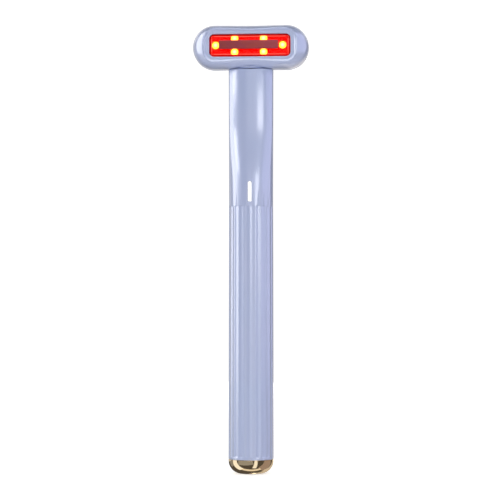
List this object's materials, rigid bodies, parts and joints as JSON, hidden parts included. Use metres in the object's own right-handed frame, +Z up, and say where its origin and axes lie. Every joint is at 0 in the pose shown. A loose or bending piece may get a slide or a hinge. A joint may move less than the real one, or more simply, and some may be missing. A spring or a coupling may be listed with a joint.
{
  "type": "red light therapy wand",
  "caption": "Slim fluted wand with a wide swivelling head, whose lit red window holds a flat metal contact bar, and a rounded metal foot.",
  "frame": {"origin": "middle of the flat foot of the end cap, which is the wand's lowest face", "axes": "+Z up along the handle and the swivel axis; the window faces -Y; the head's long side lies along X"},
  "size_m": [0.0436, 0.0171, 0.168],
  "materials": {
    "lavender_plastic": "satin pearl lavender",
    "champagne_gold": "polished champagne-gold plating",
    "red_lens": "clear red, polished",
    "steel": "fine brushed",
    "brass": "turned",
    "white_plastic": "moulded white",
    "grey_plastic": "moulded grey",
    "black_plastic": "moulded black",
    "board_green": "green solder mask",
    "rubber": "matt black rubber",
    "led_yellow": "clear dome over a yellow diode",
    "cell_sleeve": "shrink sleeve",
    "lead_black": "black wire insulation",
    "lead_red": "red wire insulation"
  },
  "bodies": {
    "handle": {"handle_barrel": "lavender_plastic", "end_cap": "champagne_gold", "end_cap_seal": "rubber", "chassis": "grey_plastic", "main_board": "board_green", "board_screw_lower": "steel", "board_screw_upper": "steel", "controller_chip": "black_plastic", "lead_plug": "white_plastic", "indicator_led": "led_yellow", "tact_switch": "black_plastic", "indicator_lens": "white_plastic", "battery_cell": "cell_sleeve", "battery_tab_bottom": "steel", "battery_tab_top": "steel", "battery_lead_positive": "lead_red", "battery_lead_negative": "lead_black", "charge_lead": "lead_red", "charge_board": "board_green", "usb_socket": "steel", "usb_tongue": "black_plastic", "swivel_bushing": "white_plastic"},
    "head": {"head_front_shell": "lavender_plastic", "head_rear_shell": "lavender_plastic", "window_lens": "red_lens", "contact_plate": "steel", "reflector_plate": "white_plastic", "led_board": "board_green", "led_left": "led_yellow", "led_right": "led_yellow", "led_upper_left": "led_yellow", "led_upper_right": "led_yellow", "led_lower_left": "led_yellow", "led_lower_right": "led_yellow", "swivel_shaft": "brass", "wave_washer": "steel", "retaining_clip": "steel", "head_lead": "lead_black", "motor_case": "steel", "motor_boot": "rubber"},
    "button": {"power_button": "lavender_plastic"},
    "plunger": {"switch_plunger": "white_plastic"},
    "rotor": {"motor_shaft": "steel", "motor_weight": "brass"}
  },
  "joints": [
    {"name": "head_swivel", "type": "hinge", "parent": "handle", "child": "head", "pos_m": [0, 0, 0.1512], "axis": [0, 0, 1], "range_deg": [-90, 90]},
    {"name": "power_button_press", "type": "slide", "parent": "handle", "child": "button", "axis": [0, -1, 0], "range_m": [0, 0.00035], "stiffness_N_per_m": 500},
    {"name": "switch_plunger_press", "type": "slide", "parent": "handle", "child": "plunger", "axis": [0, -1, 0], "range_m": [0, 0.00035]},
    {"name": "motor_spin", "type": "hinge", "parent": "head", "child": "rotor", "pos_m": [0.0107, 0.0022, 0.1601], "axis": [1, 0, 0], "continuous": true}
  ],
  "couplings": [
    {"joint": "switch_plunger_press", "follows": "power_button_press", "ratio": 1}
  ]
}
